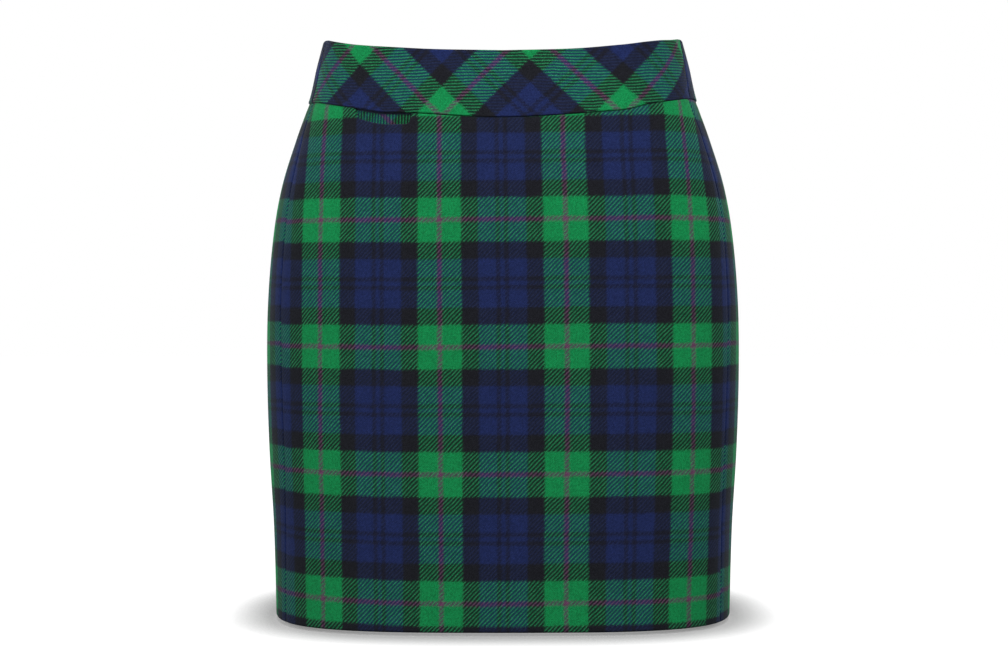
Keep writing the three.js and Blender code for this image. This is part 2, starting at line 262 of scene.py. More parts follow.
def linear(red, green, blue):  # from a colour as a screen shows it, 0 to 255
    shares = [channel / 255 for channel in (red, green, blue)]
    return tuple(share / 12.92 if share < 0.0404 else ((share + 0.055) / 1.055) ** 2.4 for share in shares)


def shades(color, darker, lighter):
    return [tuple(min(1, c * change) for c in linear(*color)) + (1,) for change in (darker, lighter)]


def newMaterial(name):
    material = bpy.data.materials.new(name)
    material.use_nodes = True
    material.node_tree.nodes.clear()
    return material, Wire(material.node_tree)


def endMaterial(wire, **sockets):
    names = {"color": "Base Color", "roughness": "Roughness", "normal": "Normal", "metallic": "Metallic",
             "sheen": "Sheen Weight", "sheenRoughness": "Sheen Roughness", "sheenTint": "Sheen Tint",
             "specular": "Specular IOR Level", "coat": "Coat Weight"}
    shader = wire.node("BsdfPrincipled", None, {names[name]: value for name, value in sockets.items()})
    wire.node("OutputMaterial", None, {"Surface": shader})


tartan = {
    "thread": 0.7724,  # from one thread to the next, in the warp and in the weft
    "stripes": [("purple", 0), ("green", 2.2), ("black", 20), ("blue", 36), ("blackLine", 52), ("blue", 56)],
    "halfRepeat": 58,  # threads from one turning point of the stripes to the next
    "yarns": {
        "green": (19, 140, 77),
        "blue": (31, 43, 90),
        "black": (28, 29, 35),
        "blackLine": (28, 31, 51),  # the narrow black lines, which blue fibres half cover
        "purple": (108, 66, 97),
    },
    "wander": {  # scale of the noise, and how far it moves a thread, in threads
        "slow": (7, 1.6),
        "quick": (60, 0.35),
        "stray": (150, 4.5),  # loose fibres, which take a thread's colour over the next ones
    },
    "arch": 0.62,  # how much of a float's height is its arch along the thread
    "edge": 0.12,  # softness of the step from a thread to the one that crosses it
    "gapShade": 0.62,  # painted shade: brightness down in the gaps between the floats
    "floatHeights": (0.15, 0.95),  # float heights where that painted shade ends and full brightness starts
    "nap": 0.14,  # how far the fibres of the thread below show through the one on top
    "darkNap": 0.14,  # added to it where both threads are dark
    "darkUpTo": (0.03, 0.045),  # greys between which two threads stop counting as dark
    "blur": 0.3,  # how far the colours of crossing threads run together
    "bleed": 0.12,  # share of its colour that a thread takes from each thread beside it
    "spin": (0.73, 0.11),  # how fast the dye changes from thread to thread, and along one
    "uneven": {  # how far each makes the cloth lighter and darker
        "thread": 0.44,
        "fibre": 0.4,
        "cloud": 0.14,
        "mottle": 0.4,  # unevenness of the brushed surface
        "fleck": 0.44,  # one float lighter than the next
    },
    "noise": {  # scale, detail and roughness of each
        "fibre": (900, 3, 0.7),
        "cloud": (5, 4, 0.5),
        "mottle": (105, 3, 0.6),
        "lint": (210, 4, 0.7),
        "fuzz": (420, 4, 0.75),
    },
    "lint": 0.015,  # pale fibres lying on it
    "lintFrom": (0.5, 0.7),
    "darkCover": 0.75,  # dark threads spread over light ones
    "glint": (0.027, 0.024, 0.017, 1),  # painted highlight on the crowns of green floats that cross dark threads
    "glintOver": (0.03, 0.12),  # where the painted highlight starts, by how much lighter the float is than the thread below
    "glintHeights": (0.5, 1),
    "bump": {"weave": 0.8, "fuzz": 0.5, "strength": 0.7, "lift": 0.16},
    "sheen": {"sheen": 0.07, "sheenRoughness": 0.45, "sheenTint": (0.7, 0.85, 1, 1)},
}


# light below 1 darkens the whole cloth as painted shade, for a shaded copy of it
def tartanMaterial(name, light=1.0):
    material, wire = newMaterial(name)
    repeat = 2 * tartan["halfRepeat"]
    place = wire.node("UVMap", {"uv_map": "cloth"})
    across = wire.node("SeparateXYZ", None, {0: place})
    down = across.sibling(1)

    def wander(kind, offset):  # threads never lie quite straight
        scale, size = tartan["wander"][kind]
        spot = wire.node("Mapping", None, {"Vector": place, "Location": (offset, offset, 0)})
        return (wire.node("TexNoise", None, {"Vector": spot, "Scale": scale, "Detail": 1}) - 0.5) * size

    def noise(kind):
        scale, detail, rough = tartan["noise"][kind]
        return wire.node("TexNoise", None, {"Vector": place, "Scale": scale, "Detail": detail, "Roughness": rough})

    u = across * repeat + wander("slow", 0) + wander("quick", 3)
    v = down * repeat + wander("slow", 5) + wander("quick", 8)
    warpThread = u.floor()
    weftThread = v.floor()
    warpSide = (u - warpThread - 0.5) * 2
    weftSide = (v - weftThread - 0.5) * 2

    def alongFloat(position, shift):  # -2 to 2, and a float is on top from -1 to 1
        return wire.math("FLOORED_MODULO", position - shift + 2, 4) - 2

    def rise(position, side):
        arch = wire.math("COSINE", position * (math.pi / 2))
        return arch * tartan["arch"] + (1 - side * side) * (1 - tartan["arch"])

    warpHeight = rise(alongFloat(v, warpThread), warpSide)
    weftHeight = rise(alongFloat(u, weftThread + 3), weftSide)
    height = wire.math("MAXIMUM", warpHeight, weftHeight)

    yarns = {yarn: linear(*color) for yarn, color in tartan["yarns"].items()}
    stops = [(start / tartan["halfRepeat"], yarns[yarn]) for yarn, start in tartan["stripes"]]

    def dyed(thread):
        folded = wire.math("PINGPONG", thread + 0.5, tartan["halfRepeat"]) / tartan["halfRepeat"]
        return wire.node("ValToRGB", {"stops": stops, "interpolation": "CONSTANT"}, {"Fac": folded})

    def yarnColor(thread):
        beside = wire.blend("MIX", dyed(thread - 1), dyed(thread + 1), 0.5)
        return wire.blend("MIX", dyed(thread), beside, 2 * tartan["bleed"])

    def grey(color):
        return wire.node("RGBToBW", None, {0: color})

    warpColor = yarnColor(warpThread + wander("stray", 11))
    weftColor = yarnColor(weftThread + wander("stray", 14))
    cover = (wire.math("SQRT", grey(weftColor)) - wire.math("SQRT", grey(warpColor))) * tartan["darkCover"]
    warpOnTop = (warpHeight - weftHeight + cover).within(-tartan["edge"], tartan["edge"])
    top = warpOnTop.mix(weftColor, warpColor)
    below = warpOnTop.mix(warpColor, weftColor)
    both = wire.blend("MIX", warpColor, weftColor, 0.5)
    alike = wire.blend("MULTIPLY", both, wire.even(grey(top) / grey(both)))
    color = wire.blend("MIX", top, alike, tartan["blur"])
    nap = (1 - grey(both).within(*tartan["darkUpTo"])) * tartan["darkNap"] + tartan["nap"]
    color = wire.blend("MULTIPLY", color.power(1 - nap), below.power(nap))

    # Each thread is dyed and spun a little unevenly
    def threadShade(thread, run, seed):
        nextThread, alongIt = tartan["spin"]
        spot = wire.node("CombineXYZ", None, {0: thread * nextThread, 1: run * alongIt, 2: seed})
        return wire.node("TexNoise", None, {"Vector": spot, "Scale": 1, "Detail": 2})

    def uneven(kind, amount):  # darker and lighter round 1
        swing = tartan["uneven"][kind]
        return amount * swing + (1 - swing / 2)

    shade = warpOnTop * threadShade(warpThread, v, 0) + (1 - warpOnTop) * threadShade(weftThread, u, 9)
    crossing = wire.node("CombineXYZ", None, {0: warpThread, 1: weftThread})
    fleck = wire.node("TexWhiteNoise", {"noise_dimensions": "2D"}, {"Vector": crossing})
    # painted shade in the gaps between the floats, times the yarns' uneven tone and the painted light level
    paintedShadeAndTone = height.within(*tartan["floatHeights"]) * (1 - tartan["gapShade"]) + tartan["gapShade"]
    paintedShadeAndTone = paintedShadeAndTone * uneven("thread", shade) * uneven("fibre", noise("fibre")) * uneven("cloud", noise("cloud"))
    paintedShadeAndTone = paintedShadeAndTone * uneven("mottle", noise("mottle")) * uneven("fleck", fleck)
    color = wire.blend("MULTIPLY", color, wire.even(paintedShadeAndTone * light))
    # painted highlight: a paler colour added on the crowns of floats that lie over dark threads
    paintedGlint = (grey(top) - grey(below)).within(*tartan["glintOver"]) * height.within(*tartan["glintHeights"])
    paintedGlint = paintedGlint * fleck * light
    color = wire.blend("ADD", color, paintedGlint.mix((0, 0, 0, 1), tartan["glint"]))
    color = wire.blend("ADD", color, wire.even(noise("lint").within(*tartan["lintFrom"]) * tartan["lint"]))

    bump = tartan["bump"]
    raised = {"Height": height * bump["weave"] + noise("fuzz") * bump["fuzz"],
              "Strength": bump["strength"], "Distance": bump["lift"] * mm}
    normal = wire.node("Bump", None, raised)
    endMaterial(wire, color=color, roughness=0.92, normal=normal, specular=0.05, **tartan["sheen"])
    return material


def plainMaterial(name, color, roughness, grain, lift, metallic=0.0, **sockets):
    material, wire = newMaterial(name)
    place = wire.node("TexCoord", None, None, "Object")
    noise = wire.node("TexNoise", None, {"Vector": place, "Scale": grain, "Detail": 4, "Roughness": 0.6})
    normal = wire.node("Bump", None, {"Height": noise, "Strength": 0.5, "Distance": lift * mm})
    endMaterial(wire, color=noise.mix(*shades(color, 0.75, 1.25)), roughness=noise * 0.2 + (roughness - 0.1),
                normal=normal, metallic=metallic, **sockets)
    return material


def tapeMaterial(name, color, rib, lift):  # ribs across the tape, and a soft grain
    material, wire = newMaterial(name)
    place = wire.node("TexCoord", None, None, "Object")
    sideways = wire.node("SeparateXYZ", None, {0: place})
    slanted = sideways.sibling(2) + wire.math("ABSOLUTE", sideways) * 0.5
    ribs = wire.math("SINE", slanted * (2 * math.pi / (rib * mm))) * 0.5 + 0.5
    grain = wire.node("TexNoise", None, {"Vector": place, "Scale": 2200, "Detail": 3})
    shade = ribs * 0.5 + grain * 0.5
    normal = wire.node("Bump", None, {"Height": shade, "Strength": 0.6, "Distance": lift * mm})
    endMaterial(wire, color=shade.mix(*shades(color, 0.6, 1.3)), roughness=0.8, normal=normal, specular=0.2)
    return material


tartanCloth = tartanMaterial("tartanWool")
shadedFacingCloth = tartanMaterial("tartanInMouthPaintedShade", 0.72)  # painted shade: a darker copy of the cloth for the pocket's mouth
tapeCloth = tapeMaterial("zipTape", (26, 34, 54), 0.8, 0.12)
coilPlastic = plainMaterial("zipCoil", (24, 31, 50), 0.45, 700, 0.02, specular=0.4)
enamel = plainMaterial("navyEnamel", (30, 38, 58), 0.35, 900, 0.02, metallic=0.6, coat=0.4)
print("materials made")


# Meshes
def placeObject(name, data):
    placed = bpy.data.objects.new(name, data)
    bpy.context.scene.collection.objects.link(placed)
    return placed


def ridePiece(name, mesh, body, node=None):
    piece = placeObject(name, mesh)
    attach(piece, body)
    if node:
        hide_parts(node)
    return piece


def makeMesh(name, points, faces, material, uv=None):
    mesh = bpy.data.meshes.new(name)
    mesh.from_pydata((np.asarray(points) * mm).tolist(), [], faces)
    mesh.materials.append(material)
    if uv is not None:
        layer = mesh.uv_layers.new(name="cloth")
        corner = np.empty(len(mesh.loops), int)
        mesh.loops.foreach_get("vertex_index", corner)
        layer.uv.foreach_set("vector", np.asarray(uv, np.float32)[corner].ravel())
    mesh.polygons.foreach_set("use_smooth", [True] * len(mesh.polygons))
    mesh.update()
    return mesh


def gridFaces(index, flip=False):
    corners = [index[1:, :-1], index[1:, 1:], index[:-1, 1:], index[:-1, :-1]]
    if flip:
        corners.reverse()
    return np.stack([corner.ravel() for corner in corners], axis=1)


def stripFaces(first, second):
    return np.stack([first[:-1], second[:-1], second[1:], first[1:]], axis=1)


def makeShell(name, cut, offsets, uv, flat, material, slot, node=None, weldTop=False, weldBottom=False, **shaped):
    outer, inner = (offsetPoint(cut.along, cut.z, offset) for offset in offsets)
    rows, columns = outer.shape[:2]
    index = np.arange(2 * rows * columns).reshape(2, rows, columns)
    faces = [
        gridFaces(index[0]),
        gridFaces(index[1], flip=True),
        stripFaces(index[0, :, 0], index[1, :, 0]),
        stripFaces(index[1, :, -1], index[0, :, -1]),
    ]
    if not weldTop:
        faces.append(stripFaces(index[1, 0], index[0, 0]))
    if not weldBottom:
        faces.append(stripFaces(index[0, -1], index[1, -1]))
    points = np.concatenate([outer.reshape(-1, 3), inner.reshape(-1, 3)])
    places = np.concatenate([uv.reshape(-1, 2)] * 2)
    mesh = makeMesh(name, points, np.concatenate(faces).tolist(), material, places)
    if weldTop or weldBottom:
        shape = bmesh.new()
        shape.from_mesh(mesh)
        bmesh.ops.remove_doubles(shape, verts=shape.verts, dist=0.002 * mm)
        shape.to_mesh(mesh)
        shape.free()
    ridePiece(name, mesh, "skirt", node)


# Cloth
edgeSteps = np.array([0, 0.12, 0.35, 0.7, 1.15, 1.7, 2.5, 3.8])  # places beside an edge or seam


def spread(length, extra=()):  # places across a piece, finer at its ends
    size = garment["mesh"]
    places = np.linspace(0, length, max(2, int(round(length / size))) + 1)
    inside = (places > edgeSteps[-1] + size / 2) & (places < length - edgeSteps[-1] - size / 2)
    kept = [p for p in places[inside] if all(abs(p - e) > 0.25 for e in extra)]
    return np.array(sorted([*kept, *edgeSteps, *(length - edgeSteps), *extra]))


def fitPlaces(places, length, wanted):  # keeps the places at both ends, and stretches the rest
    edge = edgeSteps[-1]
    stretched = edge + (places - edge) * (wanted - 2 * edge) / (length - 2 * edge)
    fitted = np.where(places >= length - edge, wanted - length + places, stretched)
    return np.where(places <= edge, places, fitted)


def level(value):  # an edge that stays at one value
    return lambda place: value + 0 * place


class Cut:  # a piece of cloth laid on the worn shape, as a grid of places on it
    def __init__(self, leftAt, rightAt, topAt, bottomAt, width, length, extra=()):
        columns = spread(width, extra)[None, :]
        rows = spread(length)[:, None]
        z = np.full((rows.size, columns.size), -150.0)
        for _ in range(5):  # heights and widths depend on each other
            along = leftAt(z) + fitPlaces(columns, width, rightAt(z) - leftAt(z))
            top = topAt(along)
            z = top - fitPlaces(rows, length, top - bottomAt(along))
        self.along, self.z = along, z
        self.fromLeft = along - leftAt(z)
        self.fromRight = rightAt(z) - along
        self.fromTop = topAt(along) - z
        self.fromBottom = z - bottomAt(along)

    def sides(self):
        return np.minimum(self.fromLeft, self.fromRight)


def roundOff(distance, radius):  # how far a face drops as it turns over an edge
    short = np.clip(radius - distance, 0, radius)
    return np.sqrt(np.maximum(radius * radius - short * short, 0)) - radius


def dip(kind, distance):  # the cloth sinks softly beside a seam
    depth, width = garment["dips"][kind]
    return depth * np.exp(-(distance / width) ** 2)


# Soft creases: where each runs from and to on the cloth, how wide it is, and how far it lifts
creases = {
    "along": [-150, 150, -60, 70, -120, 20, 120],
    "z": [-110, -118, -250, -200, -300, -330, -260],
    "toAlong": [-110, 118, -90, 96, -150, 40, 150],
    "toZ": [-150, -160, -360, -300, -400, -425, -390],
    "width": [16, 15, 22, 24, 18, 20, 18],
    "lift": [-0.7, -0.6, 0.5, -0.5, 0.6, -0.5, 0.5],
}
creaseFade = 1.6  # past its ends, in widths


def creaseLift(along, z):
    total = np.zeros(along.shape)
    rows = zip(*[creases[name] for name in ("along", "z", "toAlong", "toZ", "width", "lift")])
    for fromAlong, fromZ, toAlong, toZ, width, lift in rows:
        dx, dz = toAlong - fromAlong, toZ - fromZ
        length = math.hypot(dx, dz)
        share = ((along - fromAlong) * dx + (z - fromZ) * dz) / length ** 2
        aside = ((along - fromAlong) * dz - (z - fromZ) * dx) / length
        beyond = np.maximum(np.maximum(-share, share - 1), 0) * length
        total += lift * np.exp(-(aside / width) ** 2 - (beyond / (creaseFade * width)) ** 2)
    return total


def tartanPlace(across, down):  # distances from a purple crossing, as shares of a repeat
    return np.stack([across, down], axis=-1) / (2 * tartan["halfRepeat"] * tartan["thread"])


pocket = {
    "along": [-107.6, -104.2, -94, -84, -74, -66.9, -65.4],
    "drop": [0, 7, 7.8, 8.3, 8, 7.6, 0],
    "from": -118, "to": -54, "aboveSeam": 6, "depth": 72, "cloth": 0.9, "z": -80,
    "behind": 2.5, "lean": 0.4, "leanOver": 2,  # how far in the facing lies
    "tartanAt": (-84.5, -70.5), "threadsOff": 44, "flat": (0.064, 0.078),
    "columns": [-108.6, -107.6, -106.9, -106.1, -105.3, -104.2, -103.4, -67.9, -67.2,
                -66.9, -66.4, -65.9, -65.4, -64.8],
}


def mouthDrop(along):
    return np.interp(along, pocket["along"], pocket["drop"], left=0, right=0)


zipGap = {"closed": 0.25, "atSlider": 0.9, "sliderZ": -4.5, "reach": 5}


def middleBack(z):  # edge of the centre-back seam, or of the zip above it
    parted = zipGap["closed"] + (zipGap["atSlider"] - zipGap["closed"]) \
        * np.exp(-((z - zipGap["sliderZ"]) / zipGap["reach"]) ** 2)
    return halfGirth(z) - np.where(z > garment["zipBottomZ"], parted, garment["seamGap"] / 2)


def edgesOf(part):
    half = garment["seamGap"] / 2
    return {
        "front": (lambda z: seamAlong(-1, z) + half, lambda z: seamAlong(1, z) - half),
        "left": (lambda z: -middleBack(z), lambda z: seamAlong(-1, z) - half),
        "right": (lambda z: seamAlong(1, z) + half, middleBack),
    }[part]


backPanel = {"width": 330, "warp": 34, "weft": -411.3, "flat": (0.345, 0.39), "area": 0.122}
panels = {  # purple stripe nearest the side, purple line above the hem, skew of the stripes
    "front": {"name": "cloth_front", "node": "front_panel", "width": 340, "warp": 44.8, "weft": -413.3,
              "skew": -1.4e-4, "flat": (0.348, 0.404), "area": 0.127},
    "left": {"name": "cloth_back_left", "node": "back_panel_left", **backPanel},
    "right": {"name": "cloth_back_right", "node": "back_panel_right", **backPanel},
}
darts = {  # in each back panel, as shares of its width from the side seam
    "at": [0.4, 0.72], "tipZ": [-148, -172], "takes": 22, "roll": 1.1, "hipZ": -225, "topAlong": 300,
    "dimple": (0.5, 14, 9), "opensOver": 1 / 6,  # depth, height and width of the hollow past each tip
    "columns": [-1.9, -1.3, -0.9, -0.55, -0.15, 0.15, 0.55, 0.9, 1.3, 1.9],
}


def dartDepth(z, tipZ):  # 1 at the waistband, 0 at the tip
    return np.clip((z - tipZ) / (bandSeamZ(darts["topAlong"]) - tipZ), 0, 1)


def dartDrop(side, along, z):
    distance = sideDistance(side, along, z)
    width = halfGirth(z) - np.abs(seamAlong(side, z))
    deep, tall, wide = darts["dimple"]
    drop = 0
    for at, tip in zip(darts["at"], darts["tipZ"]):
        away = np.abs(distance - at * width)
        opened = np.clip(dartDepth(z, tip) / darts["opensOver"], 0, 1)
        dimple = deep * np.exp(-((z - tip) / tall) ** 2 - (away / wide) ** 2)
        drop = drop + roundOff(away, darts["roll"]) * opened - dimple
    return drop


# How far the threads have moved across and down on the worn front, by distance from centre front
frontDrift = {
    "along": [-155, -125, -65, 0, 65, 125],
    "z": [-411, -352, -282, -215, -145, -89, -66],
    "across": [
        [-3.1, -2.6, -1.8, -0.4, 1.2, 2.6],
        [-2.6, -2.1, -1.2, -0.3, 0.7, 0.9],
        [-1, -0.8, -0.6, -0.2, 0, -0.3],
        [-0.3, -0.6, -0.1, 0, 0.3, -0.5],
        [0.6, -0.3, 0.1, 0.8, 1.1, 0.2],
        [2.6, 0.1, 0, 1.6, 3.4, 2.4],
        [4.6, 0.4, 0, 1.6, 3.4, 2.4],
    ],
    "down": [
        [1.6, 0.9, -0.3, -0.6, 0.1, -0.1],
        [1, 0.8, 0.1, 0.1, 0.4, 0.4],
        [1, 0.8, 0.3, 0.5, 0.9, 1],
        [0.2, 0.1, -0.4, 0.2, 0.9, 1.1],
        [0.3, 0.3, -0.2, 0.3, 1, 2.2],
        [-0.1, -0.1, -0.6, -0.5, 0.3, 2.6],
        [-0.1, -0.1, -0.6, -0.5, 0.3, 2.6],
    ],
}


def drift(name, along, z):  # smooth down each column of the table, and eased from column to column
    places = np.array(frontDrift["along"], float)
    columns = [readTable({"z": frontDrift["z"], "moved": column}, "z", "moved", z)
               for column in zip(*frontDrift[name])]
    values = np.stack(np.broadcast_arrays(*columns))
    along = np.clip(along, places[0], places[-1])
    left = np.clip(np.searchsorted(places, along, side="right") - 1, 0, len(places) - 2)
    t = (along - places[left]) / (places[left + 1] - places[left])
    here, there = (np.take_along_axis(values, (left + step)[None], axis=0)[0] for step in (0, 1))
    return here + (there - here) * t * t * (3 - 2 * t)


def frontPlace(along, z):
    spec = panels["front"]
    across = along + drift("across", along, z)
    down = z - drift("down", along, z)
    return tartanPlace(across + spec["skew"] * across ** 2 - spec["warp"], down - spec["weft"])


def sideDistance(side, along, z):
    return side * (along - seamAlong(side, z))


def meanSeam(z):
    return 0.5 * (seamAlong(1, z) - seamAlong(-1, z))


def backPlace(side, spec, along, z):  # beside the side seam, with cloth taken up in the darts
    share = sideDistance(side, along, z) / (halfGirth(z) - np.abs(seamAlong(side, z)))
    hip = halfGirth(darts["hipZ"]) - meanSeam(darts["hipZ"])
    cloth = side * along - meanSeam(z)
    cloth = cloth * np.where(z < darts["hipZ"], hip / (halfGirth(z) - meanSeam(z)), 1)
    for at, tip in zip(darts["at"], darts["tipZ"]):
        cloth = cloth + darts["takes"] * dartDepth(z, tip) * (share > at)
    return tartanPlace(side * (cloth - spec["warp"]), z - spec["weft"])


def makePanel(part):
    spec = panels[part]
    side = {"front": 0, "left": -1, "right": 1}[part]
    left, right = edgesOf(part)
    drop = np.zeros_like if side else mouthDrop
    if side:
        extra = [at * spec["width"] + step for at in darts["at"] for step in darts["columns"]]
        if side < 0:
            extra = [spec["width"] - place for place in extra]
    else:
        extra = [along - float(left(pocket["z"])) for along in pocket["columns"]]
    cut = Cut(left, right, lambda along: bandSeamZ(along) - garment["slit"] - drop(along),
              level(garment["hemZ"]), spec["width"], garment["panelLength"], extra)
    inSeams = roundOff(cut.sides(), garment["seamRoll"])
    inMouth = garment["mouthRoll"] * (drop(cut.along) > 1)
    underBand = roundOff(cut.fromTop, garment["waistRoll"] + inMouth)
    atHem = roundOff(cut.fromBottom, garment["hemFold"])
    soft = creaseLift(cut.along, cut.z) - dip("side", cut.sides()) - dip("waist", cut.fromTop)
    if side:
        soft = soft + dartDrop(side, cut.along, cut.z)
    turnUp = np.clip((garment["hemTurnUp"] - cut.fromBottom) / garment["turnUpStep"], 0, 1)
    depth = garment["cloth"] + (2 * garment["hemFold"] - garment["cloth"]) * turnUp
    offsets = soft + np.minimum(np.minimum(inSeams, underBand), atHem), soft - depth - atHem
    uv = backPlace(side, spec, cut.along, cut.z) if side else frontPlace(cut.along, cut.z)
    makeShell(spec["name"], cut, offsets, uv, spec["flat"], tartanCloth, "tartan_wool", spec["node"],
              weldBottom=True, area=spec["area"])


backBand = {"width": 245, "down": -40, "flat": (0.25, 0.0505), "area": 0.0118}
bands = {  # where a purple crossing lies along the band, and how far below its middle top edge
    "front": {"name": "band_front", "node": "waistband_front", "width": 292, "across": -41.8, "down": -72.2,
              "flat": (0.30, 0.0505), "area": 0.0144},
    "left": {"name": "band_back_left", "node": "waistband_back_left", "across": -205, **backBand},
    "right": {"name": "band_back_right", "node": "waistband_back_right", "across": 205, **backBand},
}
bandDrift = {  # how far the front band's threads have moved along it and down
    "along": [-112, -80, -58, -37, -16, 5, 26, 47, 68, 89, 111],
    "across": [-1.3, -0.8, 1.0, 1.7, 2.4, 2.5, 2.2, 1.3, 0, -1.2, -3.3],
    "down": [-4.3, -2.9, -1.3, 0.1, 0.7, 1.0, 0.6, 0, -0.5, -0.3, 0.1],
}


def biasPlace(along, z, across, down, moved=None):  # cut at 45 degrees to the threads
    p = along - across
    q = z - 0.5 * (waistZ(along) - waistZ(0)) - down
    if moved:
        p = p + readTable(moved, "along", "across", along)
        q = q - readTable(moved, "along", "down", along)
    return tartanPlace((p - q) / math.sqrt(2), (p + q) / math.sqrt(2))


def makeBand(part):
    spec = bands[part]
    left, right = edgesOf(part)
    cut = Cut(left, right, waistZ, lambda along: bandSeamZ(along) + garment["slit"], spec["width"],
              garment["bandDepth"])
    atTop = roundOff(cut.fromTop, garment["band"] / 2)
    edges = np.minimum(roundOff(cut.sides(), garment["bandRoll"]), roundOff(cut.fromBottom, garment["waistRoll"]))
    out = garment["bandProud"] - dip("band", cut.sides())
    offsets = out + np.minimum(edges, atTop), out - garment["band"] - atTop
    uv = biasPlace(cut.along, cut.z, spec["across"], spec["down"], bandDrift if part == "front" else None)
    makeShell(spec["name"], cut, offsets, uv, spec["flat"], tartanCloth, "tartan_bias", spec["node"],
              weldTop=True, area=spec["area"])


def makePocket():
    width, length = pocket["to"] - pocket["from"], pocket["aboveSeam"] + pocket["depth"]
    cut = Cut(level(pocket["from"]), level(pocket["to"]), lambda along: bandSeamZ(along) + pocket["aboveSeam"],
              lambda along: bandSeamZ(along) - pocket["depth"], width, length)
    lean = pocket["lean"] * np.clip((cut.fromTop - pocket["aboveSeam"]) / pocket["leanOver"], 0, 1)
    out = lean - pocket["behind"]
    p, q = cut.along - pocket["tartanAt"][0], cut.z - pocket["tartanAt"][1]
    uv = tartanPlace((p + q) / math.sqrt(2), (q - p) / math.sqrt(2) + pocket["threadsOff"] * tartan["thread"])
    makeShell("pocket_facing", cut, (out, out - pocket["cloth"]), uv, pocket["flat"], shadedFacingCloth, "tartan_bias",
              "ticket_pocket_facing")


allowances = {  # pressed open behind the side seams and the centre-back seam
    "wide": 24, "cloth": 1.1, "behind": 0.15, "ditch": (0.35, 0.8), "roll": 0.5, "topZ": -66, "aboveHem": 2.5,
    "belowZip": 2,
}
seamRing = {  # the waistband's and the skirt's allowances, one ring inside the waist seam
    "deep": 12, "cloth": 0.9, "behind": 0.15, "roll": 0.5, "girthZ": -60, "clearOfZip": 14,
}


def makeAllowance(name, middleAt, topZ, placeAt):
    wide, bottomZ = allowances["wide"], garment["hemZ"] + allowances["aboveHem"]
    cut = Cut(lambda z: middleAt(z) - wide / 2, lambda z: middleAt(z) + wide / 2, level(topZ), level(bottomZ),
              wide, topZ - bottomZ)
    deep, across = allowances["ditch"]
    ditch = deep * np.exp(-((cut.along - middleAt(cut.z)) / across) ** 2)
    out = creaseLift(cut.along, cut.z) - garment["cloth"] - allowances["behind"] - ditch
    offsets = out, out - allowances["cloth"] - roundOff(cut.sides(), allowances["roll"])
    makeShell(name, cut, offsets, placeAt(cut.along, cut.z), (wide * mm, (topZ - bottomZ) * mm), tartanCloth,
              "tartan_wool")


def makeWaistSeam():
    half, clear = seamRing["deep"] / 2, seamRing["clearOfZip"]
    length = 2 * (float(halfGirth(seamRing["girthZ"])) - clear)
    cut = Cut(lambda z: clear - halfGirth(z), lambda z: halfGirth(z) - clear,
              lambda along: bandSeamZ(along) + half, lambda along: bandSeamZ(along) - half, length, 2 * half)
    out = garment["bandProud"] - garment["band"] - seamRing["behind"]
    atEdges = roundOff(np.minimum(cut.fromTop, cut.fromBottom), seamRing["roll"])
    makeShell("waist_seam", cut, (out, out - seamRing["cloth"] - atEdges), biasPlace(cut.along, cut.z, 0, 0),
              (length * mm, 2 * half * mm), tapeCloth, "zip_tape")


sides = {"left": -1, "right": 1}
for part in ("front", "left", "right"):
    makePanel(part)
    makeBand(part)
makePocket()
for name, side in sides.items():
    makeAllowance("side_seam_" + name, lambda z, side=side: seamAlong(side, z), allowances["topZ"], frontPlace)
makeAllowance("back_seam", halfGirth, garment["zipBottomZ"] - allowances["belowZip"],
              lambda along, z: backPlace(1, panels["right"], along, z))
makeWaistSeam()
print("cloth made")


# Zip
zipTape = {
    "width": 11, "fromMiddle": 0.8, "thick": 0.8, "roll": 0.35, "behindBand": 2.5, "behindCloth": 2.1,
    "belowTop": 1.5, "topAlong": 420,
}
zipCoil = {
    "pitch": 1.05, "wire": 0.2, "halfWidth": 0.72, "halfDepth": 0.5, "apart": 0.42, "behind": 0.75,
    "turnSteps": 10, "wireSides": 5, "belowSlider": 3, "aboveStop": 2,
}
zipHardware = {  # the slider's place, its pivot, and the stop's; sizes are across, along and thick
    "origin": (0, 99.424, -4.505), "pivot": (0, 101.005, -4.257), "stopZ": -177.5,
    "body": (7.4, 9, 3.4), "bodyNarrow": 0.72, "bodyCorner": 1.6, "bodyBehind": 4.4, "neck": (1, 3.2),
    "ring": 1.9, "ringHole": 1.1, "standOff": 1.6, "tab": (5.2, 15, 1), "tabShoulder": 0.72, "eye": (1.8, 2),
    "stop": (4.2, 4.5, 1.4), "stopBehind": 3.9,
    "bevels": {"body": 0.5, "neck": 0.2, "ring": 0.2, "tab": 0.25, "stop": 0.4},
}


def behindZip(z):  # inner face that the tapes lie against
    share = np.clip((bandSeamZ(darts["topAlong"]) - z) / 2, 0, 1)
    return -zipTape["behindBand"] + share * (zipTape["behindBand"] - zipTape["behindCloth"])


def makeTape(name, side):
    near, wide = zipTape["fromMiddle"], zipTape["width"]
    topZ, bottomZ = float(waistZ(zipTape["topAlong"])) - zipTape["belowTop"], garment["zipBottomZ"]

    def beside(distance):
        return lambda z: side * (halfGirth(z) - distance)

    leftToRight = [beside(near + wide), beside(near)][::side]
    cut = Cut(*leftToRight, level(topZ), level(bottomZ), wide, topZ - bottomZ)
    atEdges = roundOff(np.minimum(cut.sides(), np.minimum(cut.fromTop, cut.fromBottom)), zipTape["roll"])
    offsets = behindZip(cut.z) + atEdges, behindZip(cut.z) - zipTape["thick"] - atEdges
    uv = np.stack([cut.along, cut.z], axis=-1) * mm
    makeShell("tape_" + name, cut, offsets, uv, (wide * mm, (topZ - bottomZ) * mm), tapeCloth, "zip_tape",
              "zip_tape_" + name)


